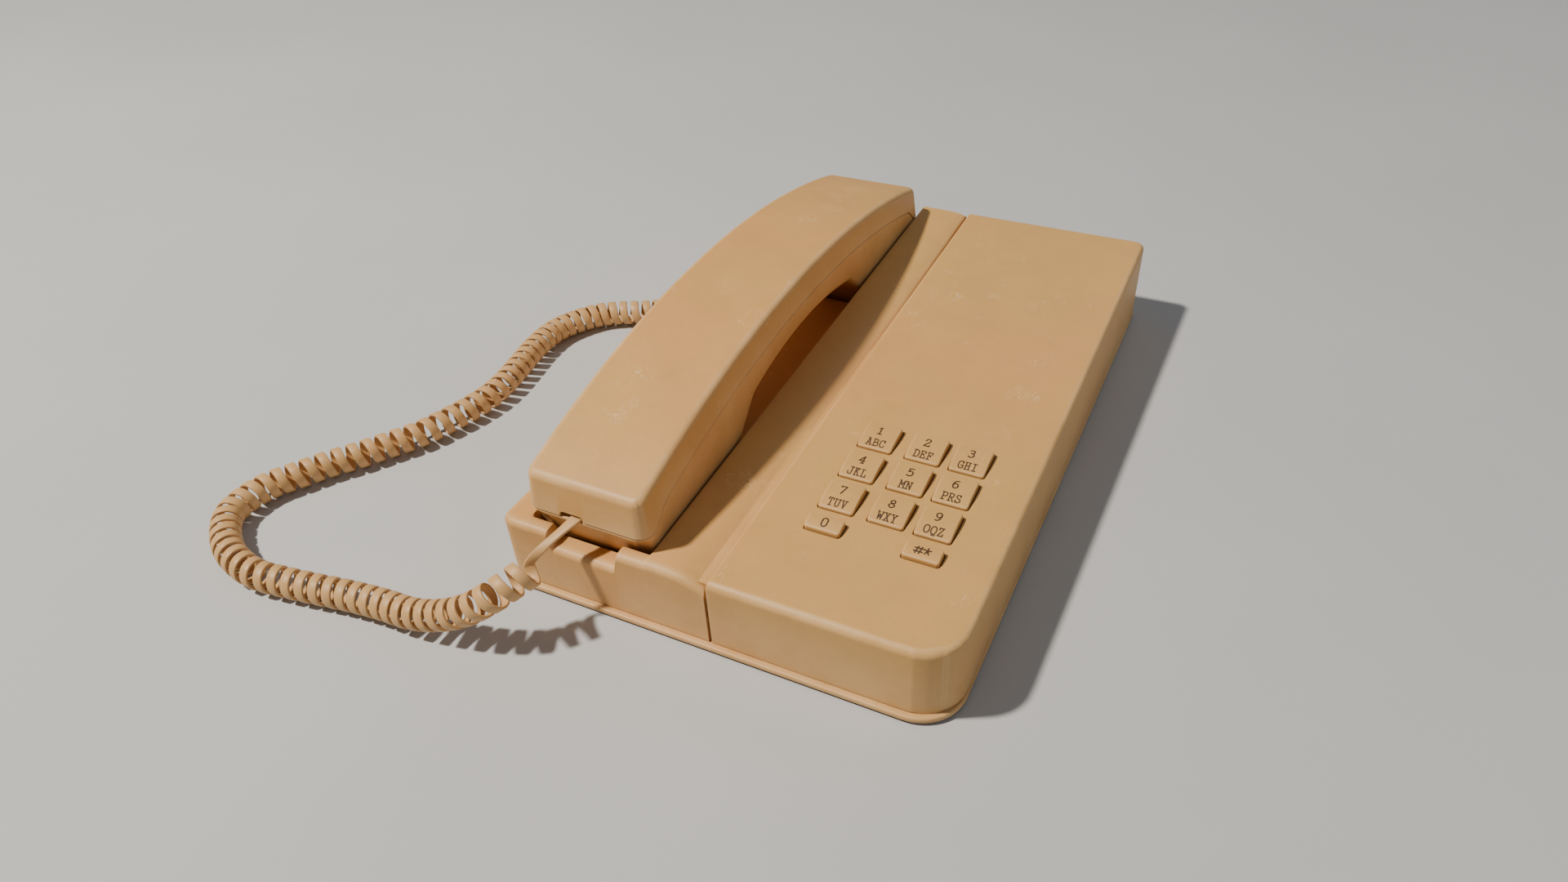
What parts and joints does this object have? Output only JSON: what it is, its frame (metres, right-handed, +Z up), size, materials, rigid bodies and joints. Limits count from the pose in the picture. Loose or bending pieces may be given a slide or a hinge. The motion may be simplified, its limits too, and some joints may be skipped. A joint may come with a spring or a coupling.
{
  "type": "corded_telephone",
  "caption": "Corded desk telephone with a handset in a left-hand cradle, a push-button keypad and a curly handset cord, in aged beige plastic",
  "frame": {"origin": "On the table under the middle of the base's footprint, with the telephone standing as it does in use", "axes": "+Z is up, +Y runs from the front of the telephone to the back, +X runs from the cradle side to the keypad side"},
  "size_m": [0.2553, 0.2695, 0.0604],
  "materials": {
    "beige_plastic": "aged beige moulding with fine scratches and a dull sheen",
    "cord_vinyl": "soft flexible vinyl",
    "dark_rubber": "matte",
    "bare_steel": "zinc plated",
    "board_laminate": "green solder resist",
    "black_plastic": "moulded",
    "grey_silicone": "silicone sheet",
    "ribbon_film": "flat cable",
    "gold_contact": "gold flashed",
    "wire_red": "insulated wire",
    "clear_plug": "smooth, slightly yellowed"
  },
  "bodies": {
    "base": {"base_tray": "beige_plastic", "cradle_cover": "beige_plastic", "keypad_cover": "beige_plastic", "rubber_feet": "dark_rubber", "cover_screws": "bare_steel", "main_board": "board_laminate", "board_components": "black_plastic", "board_screws": "bare_steel", "keypad_board": "board_laminate", "key_dome_mat": "grey_silicone", "keypad_ribbon": "ribbon_film", "ringer": "black_plastic", "line_jack": "black_plastic", "line_jack_contacts": "gold_contact", "cord_jack": "black_plastic", "hook_spring": "bare_steel", "hook_switch": "black_plastic", "base_wiring": "wire_red", "cord_lead_handset": "cord_vinyl", "cord_coil": "cord_vinyl", "cord_lead_base": "cord_vinyl", "base_plug": "clear_plug"},
    "handset": {"handset_back": "beige_plastic", "handset_front": "beige_plastic", "handset_screws": "bare_steel", "ear_capsule": "bare_steel", "ear_gasket": "dark_rubber", "mic_capsule": "black_plastic", "handset_weight": "bare_steel", "handset_wiring": "wire_red", "cord_anchor": "cord_vinyl"},
    "hook": {"hook_plunger": "beige_plastic"},
    "key_1_body": {"key_1": "beige_plastic"},
    "key_2_body": {"key_2": "beige_plastic"},
    "key_3_body": {"key_3": "beige_plastic"},
    "key_4_body": {"key_4": "beige_plastic"},
    "key_5_body": {"key_5": "beige_plastic"},
    "key_6_body": {"key_6": "beige_plastic"},
    "key_7_body": {"key_7": "beige_plastic"},
    "key_8_body": {"key_8": "beige_plastic"},
    "key_9_body": {"key_9": "beige_plastic"},
    "key_0_body": {"key_0": "beige_plastic"},
    "key_hash_star_body": {"key_hash_star": "beige_plastic"}
  },
  "joints": [
    {"name": "handset_lift", "type": "slide", "parent": "base", "child": "handset", "axis": [0, 0, 1], "range_m": [0, 0.08]},
    {"name": "hook_rise", "type": "slide", "parent": "base", "child": "hook", "axis": [0, 0, 1], "range_m": [0, 0.004], "deforming": ["hook_spring"]},
    {"name": "key_1_press", "type": "slide", "parent": "base", "child": "key_1_body", "axis": [0, 0.0284, -0.9996], "range_m": [0, 0.0018], "stiffness_N_per_m": 300, "deforming": ["key_dome_mat"]},
    {"name": "key_2_press", "type": "slide", "parent": "base", "child": "key_2_body", "axis": [0, 0.0284, -0.9996], "range_m": [0, 0.0018], "stiffness_N_per_m": 300, "deforming": ["key_dome_mat"]},
    {"name": "key_3_press", "type": "slide", "parent": "base", "child": "key_3_body", "axis": [0, 0.0284, -0.9996], "range_m": [0, 0.0018], "stiffness_N_per_m": 300, "deforming": ["key_dome_mat"]},
    {"name": "key_4_press", "type": "slide", "parent": "base", "child": "key_4_body", "axis": [0, 0.0284, -0.9996], "range_m": [0, 0.0018], "stiffness_N_per_m": 300, "deforming": ["key_dome_mat"]},
    {"name": "key_5_press", "type": "slide", "parent": "base", "child": "key_5_body", "axis": [0, 0.0284, -0.9996], "range_m": [0, 0.0018], "stiffness_N_per_m": 300, "deforming": ["key_dome_mat"]},
    {"name": "key_6_press", "type": "slide", "parent": "base", "child": "key_6_body", "axis": [0, 0.0284, -0.9996], "range_m": [0, 0.0018], "stiffness_N_per_m": 300, "deforming": ["key_dome_mat"]},
    {"name": "key_7_press", "type": "slide", "parent": "base", "child": "key_7_body", "axis": [0, 0.0284, -0.9996], "range_m": [0, 0.0018], "stiffness_N_per_m": 300, "deforming": ["key_dome_mat"]},
    {"name": "key_8_press", "type": "slide", "parent": "base", "child": "key_8_body", "axis": [0, 0.0284, -0.9996], "range_m": [0, 0.0018], "stiffness_N_per_m": 300, "deforming": ["key_dome_mat"]},
    {"name": "key_9_press", "type": "slide", "parent": "base", "child": "key_9_body", "axis": [0, 0.0284, -0.9996], "range_m": [0, 0.0018], "stiffness_N_per_m": 300, "deforming": ["key_dome_mat"]},
    {"name": "key_0_press", "type": "slide", "parent": "base", "child": "key_0_body", "axis": [0, 0.0284, -0.9996], "range_m": [0, 0.0018], "stiffness_N_per_m": 300, "deforming": ["key_dome_mat"]},
    {"name": "key_hash_star_press", "type": "slide", "parent": "base", "child": "key_hash_star_body", "axis": [0, 0.0284, -0.9996], "range_m": [0, 0.0018], "stiffness_N_per_m": 300, "deforming": ["key_dome_mat"]}
  ],
  "couplings": [
    {"joint": "hook_rise", "follows": "handset_lift", "ratio": 0.05}
  ]
}
